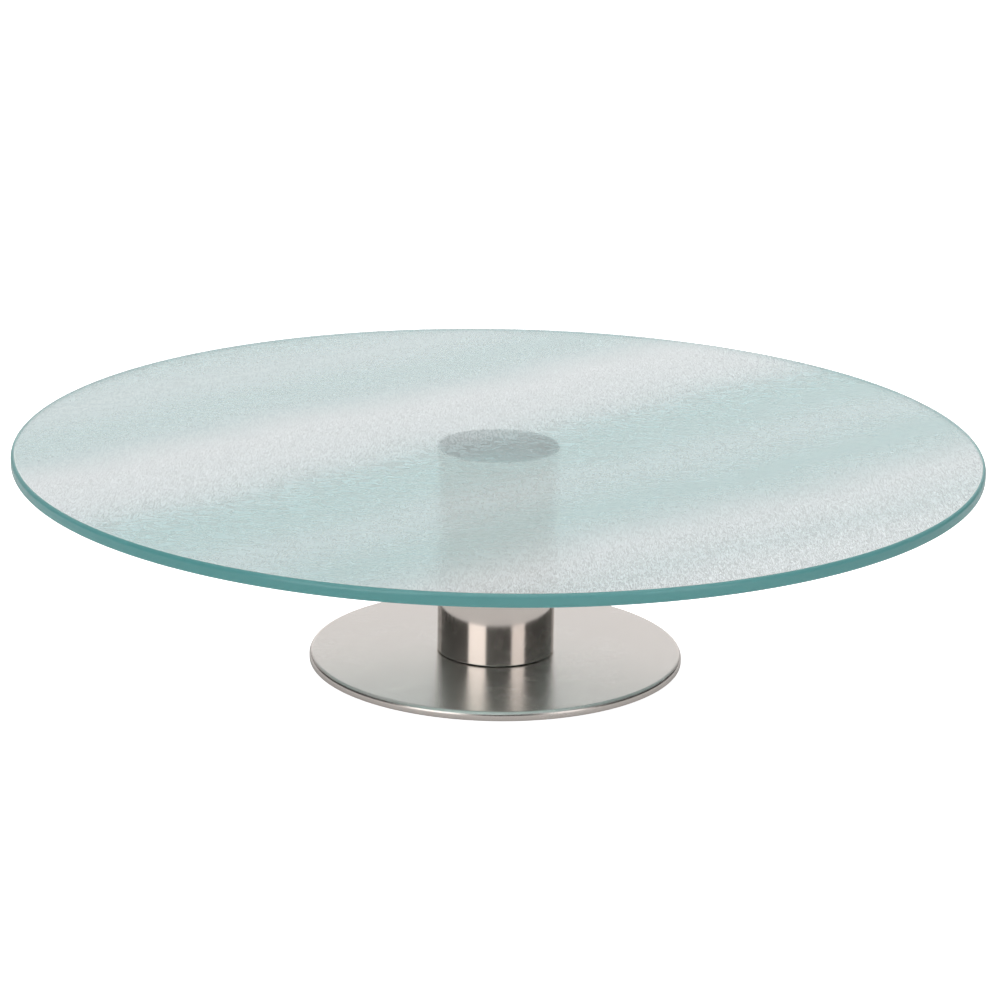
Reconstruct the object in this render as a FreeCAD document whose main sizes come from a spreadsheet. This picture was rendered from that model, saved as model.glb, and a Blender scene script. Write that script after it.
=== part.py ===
"""Revolving cake stand: a round textured-glass plate bonded to a turned hub, which runs on two
deep-groove ball bearings round a spindle standing on a weighted, steel-clad foot.

Millimetres, +Z up, origin on the table at the centre of the foot. Everything is a body of revolution
about Z, apart from screws, balls, cage pockets and retaining rings.
"""

import FreeCAD, Part
import os

import Sketcher

doc = FreeCAD.newDocument("cake_stand")

# ---------------------------------------------------------------------------------------------
# Driving dimensions
# ---------------------------------------------------------------------------------------------

DIMENSIONS = [
    # alias, value, what it is
    ("plate_dia", 300.0, "glass plate, diameter"),
    ("plate_thick", 4.0, "glass plate, thickness"),
    ("plate_round", 1.2, "ground rounding of the glass edge"),
    ("total_height", 71.0, "table to the top of the glass"),
    ("film_dia", 37.0, "adhesive film, diameter"),
    ("film_thick", 0.2, "adhesive film, thickness"),
    ("hub_dia", 38.0, "hub flange, diameter"),
    ("hub_flange", 3.0, "hub flange, thickness"),
    ("hub_bottom", 28.0, "height of the hub's lower end"),
    ("hub_recess", 19.2, "recess above the upper bearing, diameter"),
    ("hub_recess_top", 60.0, "height of the end of that recess"),
    ("column_dia", 37.0, "column sleeve, outer diameter"),
    ("column_wall", 1.2, "column sleeve, wall"),
    ("column_gap", 0.25, "running gap under the column sleeve"),
    ("foot_dia", 117.5, "foot shell, diameter"),
    ("foot_top", 3.45, "height of the foot's upper face"),
    ("foot_rim", 0.7, "height of the foot shell's lower rim"),
    ("foot_round", 1.3, "outer rounding of the foot shell"),
    ("shell_wall", 0.7, "foot shell, sheet thickness"),
    ("ballast_gap", 0.25, "radial gap between ballast and shell"),
    ("ballast_bevel", 1.2, "bevel on the ballast's upper edge"),
    ("pad_thick", 1.0, "anti-slip ring, thickness"),
    ("pad_outer", 110.0, "anti-slip ring, outer diameter"),
    ("pad_inner", 72.0, "anti-slip ring, inner diameter"),
    ("flange_dia", 31.0, "spindle flange, diameter"),
    ("flange_thick", 4.0, "spindle flange, thickness"),
    ("stem_dia", 11.0, "spindle stem below the bearings, diameter"),
    ("shaft_dia", 8.0, "spindle shaft in the bearings, diameter"),
    ("shaft_top", 58.5, "height of the spindle's upper end"),
    ("shaft_groove", 7.6, "groove for the shaft retaining ring, diameter"),
    ("fit_gap", 0.01, "radial gap of a seated part"),
    ("sleeve_fit", 0.02, "radial gap between hub and column sleeve"),
    ("bearing_low", 32.0, "height of the lower bearing's lower face"),
    ("spacer_long", 10.0, "distance between the bearings"),
    ("race_outer", 22.0, "bearing, outside diameter"),
    ("race_bore", 8.0, "bearing, bore"),
    ("race_width", 7.0, "bearing, width"),
    ("race_pitch", 15.0, "bearing, ball circle diameter"),
    ("land_inner", 12.0, "inner ring, land diameter"),
    ("land_outer", 18.0, "outer ring, land diameter"),
    ("ball_dia", 3.969, "ball, diameter"),
    ("ball_play", 0.05, "gap between a ball and its raceway"),
    ("race_chamfer", 0.3, "chamfer on the rings' corners"),
    ("shield_seat", 18.7, "shield seat in the outer ring, diameter"),
    ("shield_hole", 12.4, "shield, inner diameter"),
    ("shield_thick", 0.3, "shield, sheet thickness"),
    ("shield_inset", 0.15, "shield, depth below the bearing's face"),
    ("cage_inner", 13.3, "cage, inner diameter"),
    ("cage_outer", 16.7, "cage, outer diameter"),
    ("cage_down", 2.9, "cage, reach below the balls' centres"),
    ("cage_up", 1.1, "cage, reach above the balls' centres"),
    ("pocket_play", 0.08, "gap between a ball and its cage pocket"),
    ("spacer_wall", 1.4, "bearing spacers, wall"),
    ("groove_play", 0.1, "groove width over the retaining ring"),
    ("shaft_ring_thick", 0.8, "shaft retaining ring, thickness"),
    ("shaft_ring_outer", 10.8, "shaft retaining ring, outer diameter"),
    ("shaft_ring_lug", 2.3, "shaft retaining ring, lug diameter"),
    ("shaft_ring_lug_at", 5.7, "shaft retaining ring, lugs' distance from the axis"),
    ("shaft_ring_gap", 1.6, "shaft retaining ring, opening"),
    ("shaft_ring_hole", 1.0, "shaft retaining ring, plier hole diameter"),
    ("bore_groove", 23.0, "groove for the bore retaining ring, diameter"),
    ("bore_ring_thick", 1.0, "bore retaining ring, thickness"),
    ("bore_ring_inner", 19.2, "bore retaining ring, inner diameter"),
    ("bore_ring_lug", 2.6, "bore retaining ring, lug diameter"),
    ("bore_ring_lug_at", 9.0, "bore retaining ring, lugs' distance from the axis"),
    ("bore_ring_gap", 2.6, "bore retaining ring, opening"),
    ("bore_ring_hole", 1.2, "bore retaining ring, plier hole diameter"),
    ("screw_circle", 22.0, "circle of the foot screws, diameter"),
    ("screw_dia", 4.0, "foot screw, thread diameter"),
    ("screw_long", 6.0, "foot screw, length"),
    ("screw_head", 7.6, "foot screw, head diameter"),
    ("screw_socket", 2.5, "foot screw, hexagon socket across flats"),
    ("socket_deep", 1.3, "foot screw, depth of the socket"),
    ("screw_play", 0.2, "radial clearance round the foot screws"),
    ("thread_play", 0.05, "radial gap between thread and tapped hole"),
]

sheet = doc.addObject("Spreadsheet::Sheet", "sizes")
for row, (alias, value, meaning) in enumerate(DIMENSIONS, start=1):
    sheet.set(f"A{row}", meaning)
    sheet.set(f"B{row}", str(value))
    sheet.setAlias(f"B{row}", alias)
doc.recompute()

BALLS = 7
SCREWS = 3
FULL_TURN = 360.0
CLOSE = 1e-4  # how near two measured lengths count as equal

# Heights and radii that several pieces share, as expressions on the sheet.
PLATE_BOTTOM = "sizes.total_height - sizes.plate_thick"
FLANGE_TOP = f"{PLATE_BOTTOM} - sizes.film_thick"
COLUMN_TOP = f"{FLANGE_TOP} - sizes.hub_flange"
COLUMN_BORE = "(sizes.column_dia / 2 - sizes.column_wall)"
SHELL_BORE = "(sizes.foot_dia / 2 - sizes.shell_wall)"
SHELL_UNDER = "(sizes.foot_top - sizes.shell_wall)"
LOWER_TOP = "(sizes.bearing_low + sizes.race_width)"
UPPER_LOW = f"({LOWER_TOP} + sizes.spacer_long)"
UPPER_TOP = f"({UPPER_LOW} + sizes.race_width)"

finished = []  # the objects that are exported, one for each sub-part


def size(expression):
    """The value of an expression on the sheet, in millimetres."""
    return float(sheet.evalExpression(expression))


# ---------------------------------------------------------------------------------------------
# Drawing and turning
# ---------------------------------------------------------------------------------------------


def new_body(label):
    """A PartDesign body that becomes the sub-part of that name."""
    body = doc.addObject("PartDesign::Body", label)
    body.Label = label
    finished.append(body)
    return body


def datum(body, role):
    """One of a body's own origin planes or axes."""
    return next(f for f in body.Origin.OriginFeatures if f.Role == role)


def new_sketch(body, name, plane="XZ_Plane", height=None):
    """A sketch on one of the body's planes, raised along the plane's normal by an expression."""
    sketch = body.newObject("Sketcher::SketchObject", f"{body.Name}_{name}")
    sketch.AttachmentSupport = (datum(body, plane), "")
    sketch.MapMode = "FlatFace"
    if height:
        sketch.setExpression("AttachmentOffset.Base.z", height)
    return sketch


def bind(sketch, kind, where, expression):
    """Adds a dimension to the sketch and ties it to the sheet."""
    number = sketch.addConstraint(Sketcher.Constraint(kind, *where, size(expression)))
    sketch.setExpression(f"Constraints[{number}]", expression)


def place_point(sketch, geometry, point, across, up):
    """Ties a point of the sketch to the expressions of its two coordinates."""
    for kind, expression, axis in (("DistanceX", across, -2), ("DistanceY", up, -1)):
        value = size(expression)
        if abs(value) < CLOSE:
            sketch.addConstraint(Sketcher.Constraint("PointOnObject", geometry, point, axis))
        elif value > 0:
            bind(sketch, kind, (-1, 1, geometry, point), expression)
        else:
            bind(sketch, kind, (geometry, point, -1, 1), f"-({expression})")


def draw_outline(sketch, corners):
    """Draws a closed outline through corners, each a pair of expressions (across, up)."""
    points = [FreeCAD.Vector(size(x), size(y), 0) for x, y in corners]
    count = len(points)
    for n in range(count):
        sketch.addGeometry(Part.LineSegment(points[n], points[(n + 1) % count]), False)
    for n in range(count):
        sketch.addConstraint(Sketcher.Constraint("Coincident", n, 2, (n + 1) % count, 1))
    for n, (across, up) in enumerate(corners):
        place_point(sketch, n, 1, across, up)


def draw_circle(sketch, radius, across="0", up="0"):
    """Draws a circle of that radius round a point, all given as expressions."""
    centre = FreeCAD.Vector(size(across), size(up), 0)
    normal = FreeCAD.Vector(0, 0, 1)
    number = sketch.addGeometry(Part.Circle(centre, normal, size(radius)), False)
    bind(sketch, "Radius", (number,), radius)
    place_point(sketch, number, 3, across, up)


def turn(body, corners, name="turned"):
    """Revolves an outline in the XZ plane about the Z axis."""
    sketch = new_sketch(body, f"{name}_sketch")
    draw_outline(sketch, corners)
    feature = body.newObject("PartDesign::Revolution", f"{body.Name}_{name}")
    feature.Profile = sketch
    feature.ReferenceAxis = (sketch, ["V_Axis"])
    feature.Angle = FULL_TURN
    doc.recompute()
    return feature


def cut_raceway(body, low):
    """Cuts a bearing ring's round raceway, low being the height of the bearing's lower face."""
    sketch = new_sketch(body, "raceway_sketch")
    radius = "sizes.ball_dia / 2 + sizes.ball_play"
    draw_circle(sketch, radius, "sizes.race_pitch / 2", f"{low} + sizes.race_width / 2")
    feature = body.newObject("PartDesign::Groove", f"{body.Name}_raceway")
    feature.Profile = sketch
    feature.ReferenceAxis = (sketch, ["V_Axis"])
    feature.Angle = FULL_TURN
    checked_cut(body, feature)
    return feature


def checked_cut(body, feature):
    """Recomputes, and stops if a cutting feature took nothing away."""
    before = feature.BaseFeature.Shape.Volume
    doc.recompute()
    if not feature.Shape.Volume < before - 1e-6:
        raise RuntimeError(f"{feature.Name} of {body.Label} cuts nothing")


def ring_outline(inner, outer, low, high):
    """The rectangle that a plain ring, tube or disc is turned from."""
    return [(inner, low), (outer, low), (outer, high), (inner, high)]


def edges_at(feature, radius, height):
    """Names of the circular edges about Z with that radius at that height."""
    centre = FreeCAD.Vector(0, 0, height)
    found = []
    for number, edge in enumerate(feature.Shape.Edges, start=1):
        curve = edge.Curve
        if not isinstance(curve, Part.Circle):
            continue
        if curve.Center.distanceToPoint(centre) < CLOSE and abs(curve.Radius - radius) < CLOSE:
            found.append(f"Edge{number}")
    if not found:
        raise RuntimeError(f"{feature.Name} has no edge of radius {radius} at height {height}")
    return found


def dress(body, kind, amount, places):
    """Rounds ("Fillet") or bevels ("Chamfer") the circular edges at places, pairs of expressions."""
    base = body.Tip
    names = [name for radius, height in places for name in edges_at(base, size(radius), size(height))]
    feature = body.newObject(f"PartDesign::{kind}", f"{body.Name}_{kind.lower()}")
    feature.Base = (base, names)
    feature.setExpression("Radius" if kind == "Fillet" else "Size", amount)
    doc.recompute()
    return feature


def pocket(body, name, draw, height, depth):
    """Cuts what draw(sketch) draws at a height, downwards by a depth."""
    sketch = new_sketch(body, f"{name}_sketch", "XY_Plane", height)
    draw(sketch)
    feature = body.newObject("PartDesign::Pocket", f"{body.Name}_{name}")
    feature.Profile = sketch
    feature.setExpression("Length", depth)
    checked_cut(body, feature)
    return feature


def repeat_round(body, features, count):
    """Repeats features evenly round the Z axis."""
    pattern = body.newObject("PartDesign::PolarPattern", f"{body.Name}_pattern")
    pattern.Originals = features
    pattern.Axis = (datum(body, "Z_Axis"), [""])
    pattern.Angle = FULL_TURN
    pattern.Occurrences = count
    body.Tip = pattern
    doc.recompute()
    return pattern


def pad(body, name, draw, height, thickness):
    """Adds what draw(sketch) draws at a height, upwards by a thickness."""
    sketch = new_sketch(body, f"{name}_sketch", "XY_Plane", height)
    draw(sketch)
    feature = body.newObject("PartDesign::Pad", f"{body.Name}_{name}")
    feature.Profile = sketch
    feature.setExpression("Length", thickness)
    doc.recompute()
    return feature


# ---------------------------------------------------------------------------------------------
# Plate, adhesive film, hub and column sleeve: the part that turns
# ---------------------------------------------------------------------------------------------


def make_plate():
    """Toughened glass disc with a ground and rounded edge."""
    body = new_body("glass_plate")
    radius = "sizes.plate_dia / 2"
    pad(body, "disc", lambda s: draw_circle(s, radius), PLATE_BOTTOM, "sizes.plate_thick")
    dress(body, "Fillet", "sizes.plate_round", [(radius, PLATE_BOTTOM), (radius, "sizes.total_height")])


def make_film():
    """Clear ultraviolet-cured adhesive between the hub and the glass."""
    body = new_body("adhesive_film")
    pad(body, "disc", lambda s: draw_circle(s, "sizes.film_dia / 2"), FLANGE_TOP, "sizes.film_thick")


def make_hub():
    """Turned bearing housing: a flange under the glass and a bored boss inside the column."""
    body = new_body("hub")
    boss = f"({COLUMN_BORE} - sizes.sleeve_fit)"
    bore = "(sizes.race_outer / 2 + sizes.fit_gap)"
    groove_low = "(sizes.bearing_low - sizes.bore_ring_thick - sizes.groove_play)"
    corners = [
        ("0", FLANGE_TOP),
        ("0", "sizes.hub_recess_top"),
        ("sizes.hub_recess / 2", "sizes.hub_recess_top"),
        ("sizes.hub_recess / 2", UPPER_TOP),
        (bore, UPPER_TOP),
        (bore, "sizes.bearing_low"),
        ("sizes.bore_groove / 2", "sizes.bearing_low"),
        ("sizes.bore_groove / 2", groove_low),
        (bore, groove_low),
        (bore, "sizes.hub_bottom"),
        (boss, "sizes.hub_bottom"),
        (boss, COLUMN_TOP),
        ("sizes.hub_dia / 2", COLUMN_TOP),
        ("sizes.hub_dia / 2", FLANGE_TOP),
    ]
    turn(body, corners)
    dress(body, "Chamfer", "sizes.race_chamfer", [(boss, "sizes.hub_bottom"), (bore, "sizes.hub_bottom")])
    dress(body, "Fillet", "sizes.race_chamfer", [("sizes.hub_dia / 2", COLUMN_TOP)])


def make_column():
    """Drawn stainless tube that hides the bearings and turns with the hub."""
    body = new_body("column_sleeve")
    low = "sizes.foot_top + sizes.column_gap"
    turn(body, ring_outline(COLUMN_BORE, "sizes.column_dia / 2", low, COLUMN_TOP))
    dress(body, "Chamfer", "sizes.race_chamfer", [("sizes.column_dia / 2", low)])


# ---------------------------------------------------------------------------------------------
# Ball bearings: rings, balls, cage and shields
# ---------------------------------------------------------------------------------------------


def make_outer_ring(prefix, low):
    """Outer ring with a raceway and a seat for a shield at each end."""
    body = new_body(f"{prefix}_outer_ring")
    high = f"({low} + sizes.race_width)"
    step = "(sizes.shield_inset + sizes.shield_thick)"
    seat, land, outside = "sizes.shield_seat / 2", "sizes.land_outer / 2", "sizes.race_outer / 2"
    corners = [
        (seat, low),
        (outside, low),
        (outside, high),
        (seat, high),
        (seat, f"{high} - {step}"),
        (land, f"{high} - {step}"),
        (land, f"{low} + {step}"),
        (seat, f"{low} + {step}"),
    ]
    turn(body, corners)
    cut_raceway(body, low)
    dress(body, "Chamfer", "sizes.race_chamfer", [(outside, low), (outside, high)])


def make_inner_ring(prefix, low):
    """Inner ring with a raceway."""
    body = new_body(f"{prefix}_inner_ring")
    high = f"({low} + sizes.race_width)"
    bore = "sizes.race_bore / 2"
    turn(body, ring_outline(bore, "sizes.land_inner / 2", low, high))
    cut_raceway(body, low)
    dress(body, "Chamfer", "sizes.race_chamfer", [(bore, low), (bore, high)])


def make_shields(prefix, low):
    """Two sheet-steel shields, pressed into the outer ring's seats."""
    seat = "sizes.shield_seat / 2 - sizes.fit_gap"
    high = f"{low} + sizes.race_width"
    ends = {
        "lower": f"{low} + sizes.shield_inset",
        "upper": f"{high} - sizes.shield_inset - sizes.shield_thick",
    }
    for end, bottom in ends.items():
        body = new_body(f"{prefix}_{end}_shield")
        turn(body, ring_outline("sizes.shield_hole / 2", seat, bottom, f"{bottom} + sizes.shield_thick"))


def make_cage(prefix, low):
    """Moulded snap-in cage: a ring with round pockets that are open upwards."""
    body = new_body(f"{prefix}_cage")
    middle = f"({low} + sizes.race_width / 2)"
    turn(
        body,
        ring_outline(
            "sizes.cage_inner / 2",
            "sizes.cage_outer / 2",
            f"{middle} - sizes.cage_down",
            f"{middle} + sizes.cage_up",
        ),
    )
    ball_hole = body.newObject("PartDesign::SubtractiveSphere", f"{body.Name}_pocket")
    ball_hole.setExpression("Radius", "sizes.ball_dia / 2 + sizes.pocket_play")
    ball_hole.AttachmentSupport = (datum(body, "XY_Plane"), "")
    ball_hole.MapMode = "FlatFace"
    ball_hole.setExpression("AttachmentOffset.Base.x", "sizes.race_pitch / 2")
    ball_hole.setExpression("AttachmentOffset.Base.z", middle)
    checked_cut(body, ball_hole)
    repeat_round(body, [ball_hole], BALLS)


def make_balls(prefix, low):
    """The balls, each a separate piece on the ball circle."""
    for number in range(BALLS):
        ball = doc.addObject("Part::Sphere", f"{prefix}_ball_{number + 1}")
        ball.Label = ball.Name
        angle = FULL_TURN * number / BALLS
        ball.setExpression("Radius", "sizes.ball_dia / 2")
        ball.setExpression("Placement.Base.x", f"sizes.race_pitch / 2 * cos({angle})")
        ball.setExpression("Placement.Base.y", f"sizes.race_pitch / 2 * sin({angle})")
        ball.setExpression("Placement.Base.z", f"{low} + sizes.race_width / 2")
        finished.append(ball)


def make_bearing(prefix, low):
    """One shielded deep-groove ball bearing with its lower face at that height."""
    make_outer_ring(prefix, low)
    make_inner_ring(prefix, low)
    make_shields(prefix, low)
    make_cage(prefix, low)
    make_balls(prefix, low)


def make_spacers():
    """The two tubes that keep the bearings apart, one on each ring."""
    outside = "(sizes.race_outer / 2)"
    outer = new_body("outer_spacer")
    turn(outer, ring_outline(f"{outside} - sizes.spacer_wall", outside, LOWER_TOP, UPPER_LOW))
    bore = "(sizes.race_bore / 2)"
    inner = new_body("inner_spacer")
    turn(inner, ring_outline(bore, f"{bore} + sizes.spacer_wall", LOWER_TOP, UPPER_LOW))


# ---------------------------------------------------------------------------------------------
# Retaining rings
# ---------------------------------------------------------------------------------------------


def make_retaining_ring(label, prefix, height, inner, outer):
    """Sprung ring between two radii, with an opening on +X and a holed lug on each side of it."""
    body = new_body(label)
    thickness = f"sizes.{prefix}_thick"
    lug_across = f"sizes.{prefix}_lug_at"
    lug_aside = f"(sizes.{prefix}_gap / 2 + sizes.{prefix}_lug / 2)"
    half_gap = f"sizes.{prefix}_gap / 2"
    reach = f"{lug_across} + sizes.{prefix}_lug"

    def ring(sketch):
        draw_circle(sketch, outer)
        draw_circle(sketch, inner)

    def lugs(sketch):
        for aside in (lug_aside, f"-{lug_aside}"):
            draw_circle(sketch, f"sizes.{prefix}_lug / 2", lug_across, aside)

    def holes(sketch):
        for aside in (lug_aside, f"-{lug_aside}"):
            draw_circle(sketch, f"sizes.{prefix}_hole / 2", lug_across, aside)

    def opening(sketch):
        draw_outline(sketch, ring_outline("0", reach, f"-{half_gap}", half_gap))

    pad(body, "ring", ring, height, thickness)
    pad(body, "lugs", lugs, height, thickness)
    pocket(body, "opening", opening, f"{height} + {thickness}", thickness)
    pocket(body, "holes", holes, f"{height} + {thickness}", thickness)


def make_retaining_rings():
    """The ring on the shaft over the upper bearing and the ring in the bore under the lower one."""
    make_retaining_ring(
        "shaft_retaining_ring",
        "shaft_ring",
        UPPER_TOP,
        "sizes.shaft_groove / 2",
        "sizes.shaft_ring_outer / 2",
    )
    make_retaining_ring(
        "bore_retaining_ring",
        "bore_ring",
        "(sizes.bearing_low - sizes.bore_ring_thick)",
        "sizes.bore_ring_inner / 2",
        "sizes.bore_groove / 2",
    )


# ---------------------------------------------------------------------------------------------
# Spindle and foot: the part that stands still
# ---------------------------------------------------------------------------------------------


def make_spindle():
    """Turned steel spindle with a bolted flange, a stem and the shaft that carries the bearings."""
    body = new_body("spindle")
    shaft = "(sizes.shaft_dia / 2 - sizes.fit_gap)"
    flange_top = "(sizes.foot_top + sizes.flange_thick)"
    ring_top = f"({UPPER_TOP} + sizes.shaft_ring_thick + sizes.groove_play)"
    corners = [
        ("0", "sizes.foot_top"),
        ("sizes.flange_dia / 2", "sizes.foot_top"),
        ("sizes.flange_dia / 2", flange_top),
        ("sizes.stem_dia / 2", flange_top),
        ("sizes.stem_dia / 2", "sizes.bearing_low"),
        (shaft, "sizes.bearing_low"),
        (shaft, UPPER_TOP),
        ("sizes.shaft_groove / 2", UPPER_TOP),
        ("sizes.shaft_groove / 2", ring_top),
        (shaft, ring_top),
        (shaft, "sizes.shaft_top"),
        ("0", "sizes.shaft_top"),
    ]
    turn(body, corners)
    dress(body, "Fillet", "sizes.foot_round", [("sizes.stem_dia / 2", flange_top)])
    corners_to_break = [(shaft, "sizes.shaft_top"), ("sizes.flange_dia / 2", flange_top)]
    dress(body, "Chamfer", "sizes.race_chamfer", corners_to_break)
    tapped = pocket(
        body,
        "tapped_hole",
        lambda s: draw_circle(s, "sizes.screw_dia / 2 + sizes.thread_play", "sizes.screw_circle / 2"),
        flange_top,
        "sizes.flange_thick",
    )
    repeat_round(body, [tapped], SCREWS)


def make_shell():
    """Pressed stainless shell of the foot, with a rounded rim."""
    body = new_body("foot_shell")
    outside = "sizes.foot_dia / 2"
    corners = [
        ("0", SHELL_UNDER),
        (SHELL_BORE, SHELL_UNDER),
        (SHELL_BORE, "sizes.foot_rim"),
        (outside, "sizes.foot_rim"),
        (outside, "sizes.foot_top"),
        ("0", "sizes.foot_top"),
    ]
    turn(body, corners)
    dress(body, "Fillet", "sizes.foot_round - sizes.shell_wall", [(SHELL_BORE, SHELL_UNDER)])
    dress(body, "Fillet", "sizes.foot_round", [(outside, "sizes.foot_top")])
    hole = pocket(
        body,
        "screw_hole",
        lambda s: draw_circle(s, "sizes.screw_dia / 2 + sizes.screw_play", "sizes.screw_circle / 2"),
        "sizes.foot_top",
        "sizes.shell_wall",
    )
    repeat_round(body, [hole], SCREWS)


def make_ballast():
    """Steel disc inside the shell that gives the foot its weight and takes the screw heads."""
    body = new_body("ballast_disc")
    outside = f"({SHELL_BORE} - sizes.ballast_gap)"
    bottom = "sizes.pad_thick"
    turn(body, ring_outline("0", outside, bottom, SHELL_UNDER))
    dress(body, "Chamfer", "sizes.ballast_bevel", [(outside, SHELL_UNDER)])
    axis_x = "sizes.screw_circle / 2"
    narrow = "(sizes.screw_dia / 2 + sizes.screw_play)"
    wide = "sizes.screw_head / 2"
    sketch = new_sketch(body, "countersink_sketch")
    cone_deep = f"({wide} - {narrow})"
    corners = [
        (axis_x, bottom),
        (f"{axis_x} + {wide}", bottom),
        (f"{axis_x} + {narrow}", f"{bottom} + {cone_deep}"),
        (f"{axis_x} + {narrow}", SHELL_UNDER),
        (axis_x, SHELL_UNDER),
    ]
    draw_outline(sketch, corners)
    low = FreeCAD.Vector(size(axis_x), size(bottom), 0)
    high = FreeCAD.Vector(size(axis_x), size(SHELL_UNDER), 0)
    line = sketch.addGeometry(Part.LineSegment(low, high), True)
    place_point(sketch, line, 1, axis_x, bottom)
    place_point(sketch, line, 2, axis_x, SHELL_UNDER)
    countersink = body.newObject("PartDesign::Groove", "ballast_countersink")
    countersink.Profile = sketch
    countersink.ReferenceAxis = (sketch, ["Axis0"])
    countersink.Angle = FULL_TURN
    checked_cut(body, countersink)
    repeat_round(body, [countersink], SCREWS)


def make_screw(number):
    """One countersunk socket screw, head down, standing on its own axis until it is placed."""
    body = doc.addObject("PartDesign::Body", f"screw_{number + 1}")
    head, thread = "sizes.screw_head / 2", "sizes.screw_dia / 2"
    corners = [
        ("0", "0"),
        (head, "0"),
        (thread, f"{head} - {thread}"),
        (thread, "sizes.screw_long"),
        ("0", "sizes.screw_long"),
    ]
    turn(body, corners)
    sketch = new_sketch(body, "socket_sketch", "XY_Plane")
    corner = "sizes.screw_socket / 2 / cos(30)"
    angles = [FULL_TURN * n / 6 for n in range(6)]
    draw_outline(sketch, [(f"{corner} * cos({a})", f"{corner} * sin({a})") for a in angles])
    socket = body.newObject("PartDesign::Pocket", f"{body.Name}_socket")
    socket.Profile = sketch
    socket.Reversed = True
    socket.setExpression("Length", "sizes.socket_deep")
    checked_cut(body, socket)
    angle = FULL_TURN * number / SCREWS
    body.setExpression("Placement.Base.x", f"sizes.screw_circle / 2 * cos({angle})")
    body.setExpression("Placement.Base.y", f"sizes.screw_circle / 2 * sin({angle})")
    body.setExpression("Placement.Base.z", "sizes.pad_thick")
    return body


def make_screws():
    """The three equal screws that hold the spindle, as one group of separate solids."""
    group = doc.addObject("Part::Compound", "foot_screws")
    group.Label = "foot_screws"
    group.Links = [make_screw(number) for number in range(SCREWS)]
    finished.append(group)


def make_pad():
    """Anti-slip foam ring that the stand rests on."""
    body = new_body("anti_slip_ring")
    inner, outer = "sizes.pad_inner / 2", "sizes.pad_outer / 2"
    turn(body, [(inner, "0"), (outer, "0"), (outer, "sizes.pad_thick"), (inner, "sizes.pad_thick")])


# ---------------------------------------------------------------------------------------------
# Assembly and export
# ---------------------------------------------------------------------------------------------


def check_document():
    """Stops if an object failed or a sub-part has no valid shape."""
    doc.recompute()
    for thing in doc.Objects:
        if "Invalid" in thing.State or "Error" in thing.State:
            raise RuntimeError(f"{thing.Label} failed: {thing.State}")
    for part in finished:
        if part.Shape.isNull() or not part.Shape.isValid() or not part.Shape.Solids:
            raise RuntimeError(f"{part.Label} has no valid solid")


def export():
    """Writes each sub-part to its own STEP file."""
    os.makedirs("parts", exist_ok=True)
    for part in finished:
        part.Shape.exportStep(f"parts/{part.Label}.step")
        print(f"{part.Label}: {len(part.Shape.Solids)} solid, {part.Shape.Volume:.1f} mm3")


make_plate()
make_film()
make_hub()
make_column()
make_bearing("lower_bearing", "sizes.bearing_low")
make_bearing("upper_bearing", UPPER_LOW)
make_spacers()
make_retaining_rings()
make_spindle()
make_shell()
make_ballast()
make_screws()
make_pad()
check_document()
export()
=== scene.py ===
"""The looks of a revolving glass cake stand, built round its packed mechanical model.

The glass plate, the bearing hub, the column, the foot and its foam ring are new surfaces, worked
out with numpy. The bearings, spindle, ballast, screws and rings keep their own meshes and get a
finish here. Outlines are in millimetres and meshes in metres. +Z is up, and the stand turns about Z.
"""

import logging
import math
from collections.abc import Sequence
from dataclasses import dataclass, field
from enum import Enum
from typing import Any, Optional

import bpy
import numpy as np
from mathutils import Matrix, Vector


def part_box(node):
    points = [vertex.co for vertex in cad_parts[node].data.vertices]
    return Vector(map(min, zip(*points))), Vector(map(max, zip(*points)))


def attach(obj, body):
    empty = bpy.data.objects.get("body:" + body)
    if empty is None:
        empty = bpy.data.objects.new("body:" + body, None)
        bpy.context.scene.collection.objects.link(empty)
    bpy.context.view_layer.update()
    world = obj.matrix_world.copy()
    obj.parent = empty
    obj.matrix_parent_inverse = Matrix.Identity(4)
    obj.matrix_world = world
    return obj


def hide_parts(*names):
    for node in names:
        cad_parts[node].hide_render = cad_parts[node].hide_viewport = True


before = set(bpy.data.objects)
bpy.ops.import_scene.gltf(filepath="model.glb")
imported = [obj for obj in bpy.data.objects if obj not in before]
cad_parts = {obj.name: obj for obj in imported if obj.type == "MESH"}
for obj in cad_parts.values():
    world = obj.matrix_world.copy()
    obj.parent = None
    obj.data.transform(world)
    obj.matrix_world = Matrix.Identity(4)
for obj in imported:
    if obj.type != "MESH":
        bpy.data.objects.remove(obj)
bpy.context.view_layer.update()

LOG = logging.getLogger("cake_stand")
MM = 0.001
Tree = bpy.types.NodeTree
Source = bpy.types.Node | bpy.types.NodeSocket


# --- Colour and nodes ---


def linear(hex_colour: str) -> tuple[float, float, float, float]:
    """Turns an sRGB hex colour into a linear colour with full alpha.

    Args:
        hex_colour: six hex digits with a leading #.

    Returns:
        The red, green, blue and alpha that a shader socket takes.
    """
    parts = np.array([int(hex_colour[i:i + 2], 16) for i in (1, 3, 5)]) / 255.0
    low = parts / 12.92
    high = ((parts + 0.055) / 1.055) ** 2.4
    red, green, blue = np.where(parts <= 0.04045, low, high)
    return float(red), float(green), float(blue), 1.0


def fill(tree: Tree, node: bpy.types.Node, inputs: dict[Any, Any]) -> None:
    """Gives a node's inputs their values and links.

    Args:
        tree: the node tree that holds the node.
        node: the node.
        inputs: each input's name or number with its value, or with the output that is linked to
            it. A node stands for its first output.
    """
    for key, value in inputs.items():
        if isinstance(value, bpy.types.Node):
            value = value.outputs[0]
        if isinstance(value, bpy.types.NodeSocket):
            tree.links.new(value, node.inputs[key])
        else:
            node.inputs[key].default_value = value


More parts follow.
